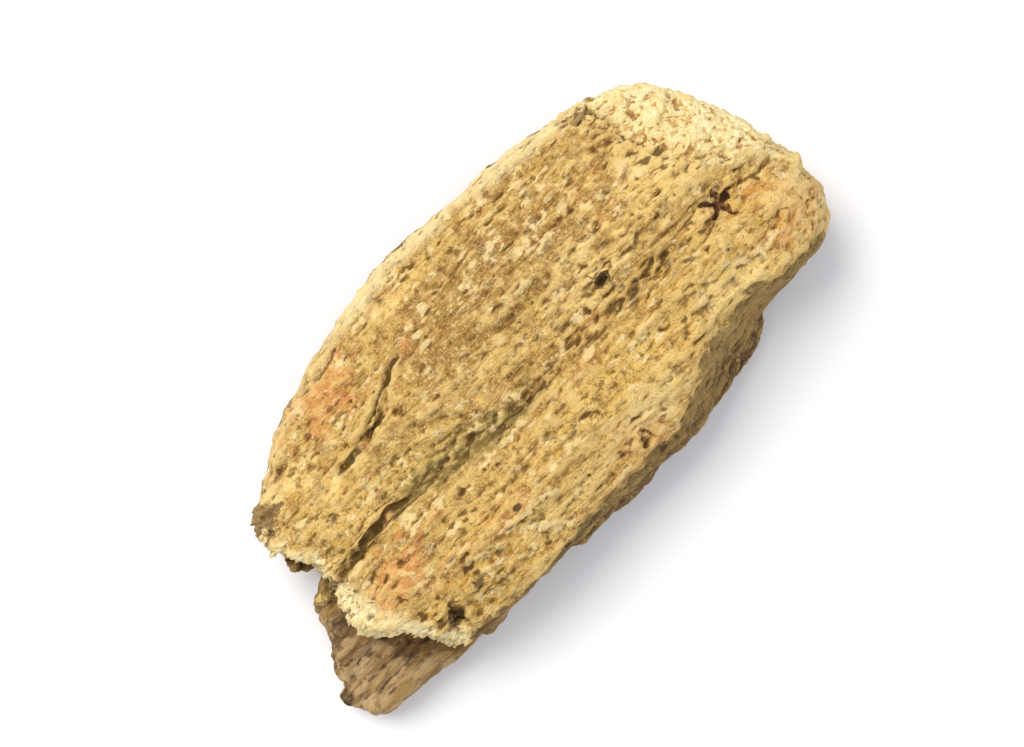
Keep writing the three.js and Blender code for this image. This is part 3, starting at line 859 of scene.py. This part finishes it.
def addFibre(bm, surface, spot, draw):
    length = draw.uniform(fray["short"], fray["long"])
    thick = fray["thick"] * draw.uniform(*fray["thickSpread"])
    lift = fray["lift"] * draw.uniform(*fray["liftSpread"]) * length
    way = Vector((draw.choice((-1, 1)), draw.uniform(-fray["askew"], fray["askew"]), 0))
    step = length / fray["joints"]
    path = []
    for joint in range(fray["joints"] + 1):
        part = joint / fray["joints"]
        ground, up = surface.find_nearest(spot)[:2]
        path.append(ground + up * (lift * part * part * 2 - fray["sunk"] * (1 - part)))
        way = (way - up * way.dot(up)).normalized()
        way = (way + Vector((0, draw.uniform(-fray["bend"], fray["bend"]), 0))).normalized()
        spot = ground + way * step
    turn = (path[1] - path[0]).to_track_quat("Z", "Y").to_matrix().to_4x4()
    ring = bmesh.ops.create_circle(bm, cap_ends=True, segments=fray["sides"], radius=thick,
                                   matrix=Matrix.Translation(path[0]) @ turn)["verts"]
    tip = list(ring[0].link_faces)
    for joint in range(1, len(path)):
        # with its edges and verts along, the old tip face is taken away
        rest = [part for face in tip for part in (*face.edges, *face.verts)]
        grown = bmesh.ops.extrude_face_region(bm, geom=tip + rest)["geom"]
        tip = [part for part in grown if isinstance(part, bmesh.types.BMFace)]
        verts = list({vert for face in tip for vert in face.verts})
        bmesh.ops.translate(bm, vec=path[joint] - path[joint - 1], verts=verts)
        shrink = fray["taper"] if joint < len(path) - 1 else fray["tip"]
        bmesh.ops.scale(bm, vec=(shrink,) * 3, space=Matrix.Translation(-path[joint]), verts=verts)


def addCrumb(bm, spot, draw):
    size = draw.uniform(crumb["small"], crumb["large"])
    shape = Matrix.Diagonal((*[draw.uniform(*limits) for limits in crumb["shape"]], 1))
    spin = Matrix.Rotation(draw.uniform(-crumb["turn"], crumb["turn"]), 4, "Z")
    made = bmesh.ops.create_icosphere(bm, subdivisions=1, radius=size,
                                      matrix=Matrix.Translation(spot) @ spin @ shape)["verts"]
    for vert in made:
        vert.co += noise.noise_vector(vert.co / size * 1.3) * size * crumb["lumps"]


def buildFibres(piece):
    draw = random.Random(fray["seed"])
    mesh = piece.data
    points = readPoints(mesh) / mm
    x, y, z = points.T
    bark, hollow, star = (readAttribute(mesh, name) for name in ("bark", "hollow", "star"))
    surface = BVHTree.FromPolygons([v.co / mm for v in mesh.vertices], [p.vertices for p in mesh.polygons])
    bm = bmesh.new()
    along, across, lowest = fray["within"]
    onWood = (bark < 0.3) & (z > lowest) & (np.abs(x) < along) & (np.abs(y) < across)
    for spot in pickSpots(points, onWood, fray["count"], draw):
        addFibre(bm, surface, spot, draw)
    inHollows = (hollow > 0.6) & (bark < 0.3) & (star < 0.1) & (z > crumb["lowest"])
    for spot in pickSpots(points, inHollows, crumb["count"], draw):
        addCrumb(bm, spot, draw)
    # the extrusions leave their faces in an order that changes from run to run
    way = Vector(fray["order"])
    bm.verts.sort(key=lambda vert: vert.co.dot(way))
    bm.edges.sort(key=lambda edge: (edge.verts[0].co + edge.verts[1].co).dot(way))
    bm.faces.sort(key=lambda face: face.calc_center_median().dot(way))
    bmesh.ops.recalc_face_normals(bm, faces=bm.faces)
    bmesh.ops.scale(bm, vec=(mm,) * 3, verts=bm.verts)
    made = bpy.data.meshes.new("looseFibres")
    bm.to_mesh(made)
    bm.free()
    fibres = bpy.data.objects.new("looseFibres", made)
    bpy.context.scene.collection.objects.link(fibres)
    return fibres


def fibreMaterial(grain):
    material, tree = newMaterial("paleFibre")
    parts = addGrain(tree, grain, placeInMillimetres(tree), fibreFinish)
    pale = ranged(tree, parts["Mottle"], 0.35, 0.65)
    bump = {"Height": parts["Streaks"], "Strength": fibreFinish["bumpStrength"],
            "Distance": fibreFinish["bump"] * mm}
    finishMaterial(tree, {
        "Base Color": mixColour(tree, pale, woodTones["brown"], woodTones["straw"]),
        "Roughness": ranged(tree, parts["Mottle"], 0.3, 0.7, *fibreFinish["roughness"]),
        "Normal": addNode(tree, "ShaderNodeBump", bump).outputs[0],
        "Specular IOR Level": fibreFinish["gloss"],
    })
    return material


grain = makeGrainGroup()
rootPiece = buildChip()
rootPiece.data.materials.append(rootMaterial(grain))
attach(rootPiece, "root")
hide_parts("root_chip")
print("chip done")

fibrePiece = buildFibres(rootPiece)
fibrePiece.data.materials.append(fibreMaterial(grain))
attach(fibrePiece, "root")
print("fibres done")

# Floor, light and camera
studio = {
    "floorSize": 0.6,
    "floorDrop": 0.004 * mm,  # keeps the floor just clear of the flat underside
    "floorColour": (0.9, 0.9, 0.91, 1.0),
    "floorRoughness": 0.8,
    "keyPlace": (-0.02, 0.26, 0.34),
    "keySize": 0.42,
    "keyPower": 1.95,
    "keyColour": (1.0, 0.97, 0.92),
    "fillPlace": (0.05, -0.35, 0.35),
    "fillSize": 0.4,
    "fillPower": 0.55,
    "fillColour": (0.92, 0.94, 1.0),
    "skyColour": (0.93, 0.94, 1.0, 1.0),
    "skyStrength": 0.66,
    "lens": 200.0,
    "sees": (0.001, 5.0),  # nearest and furthest, metres
    "span": 20.0,  # millimetres across the picture
    "tilt": math.radians(3),
    "lean": Vector((0.435, -0.9, 0.0)),  # the way the camera leans off the vertical
    "pictureUp": Vector((0.7071, 0.7071, 0.0)),
}


def buildFloor():
    bm = bmesh.new()
    bmesh.ops.create_grid(bm, x_segments=1, y_segments=1, size=studio["floorSize"] / 2)
    bmesh.ops.translate(bm, vec=(0, 0, -studio["floorDrop"]), verts=bm.verts)
    mesh = bpy.data.meshes.new("floor")
    bm.to_mesh(mesh)
    bm.free()
    floor = bpy.data.objects.new("floor", mesh)
    bpy.context.scene.collection.objects.link(floor)
    material, tree = newMaterial("paleFloor")
    finishMaterial(tree, {"Base Color": studio["floorColour"], "Roughness": studio["floorRoughness"]})
    mesh.materials.append(material)
    floor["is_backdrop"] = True


def addSoftLight(name):
    lamp = bpy.data.lights.new(name + "Light", "AREA")
    lamp.shape = "DISK"
    lamp.size = studio[name + "Size"]
    lamp.energy = studio[name + "Power"]
    lamp.color = studio[name + "Colour"]
    holder = bpy.data.objects.new(name + "Light", lamp)
    holder.location = studio[name + "Place"]
    holder.rotation_euler = holder.location.to_track_quat("Z", "Y").to_euler()
    bpy.context.scene.collection.objects.link(holder)


def addSky():
    world = bpy.data.worlds.new("softSky")
    world.use_nodes = True
    background = world.node_tree.nodes["Background"]
    background.inputs["Color"].default_value = studio["skyColour"]
    background.inputs["Strength"].default_value = studio["skyStrength"]
    bpy.context.scene.world = world


def addCamera():
    low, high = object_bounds()
    centre = (Vector(low) + Vector(high)) / 2
    lens = bpy.data.cameras.new("closeUp")
    lens.lens = studio["lens"]
    lens.clip_start, lens.clip_end = studio["sees"]
    distance = studio["span"] * mm * studio["lens"] / lens.sensor_width
    lean = studio["lean"].normalized()
    back = lean * math.sin(studio["tilt"]) + Vector((0, 0, math.cos(studio["tilt"])))
    right = studio["pictureUp"].cross(back).normalized()
    up = back.cross(right)
    camera = bpy.data.objects.new("closeUp", lens)
    camera.matrix_world = Matrix((
        (right.x, up.x, back.x, centre.x + back.x * distance),
        (right.y, up.y, back.y, centre.y + back.y * distance),
        (right.z, up.z, back.z, centre.z + back.z * distance),
        (0, 0, 0, 1),
    ))
    bpy.context.scene.collection.objects.link(camera)
    bpy.context.scene.camera = camera


buildFloor()
addSoftLight("key")
addSoftLight("fill")
addSky()
addCamera()
bpy.context.scene.view_settings.view_transform = "Standard"
print("studio done")
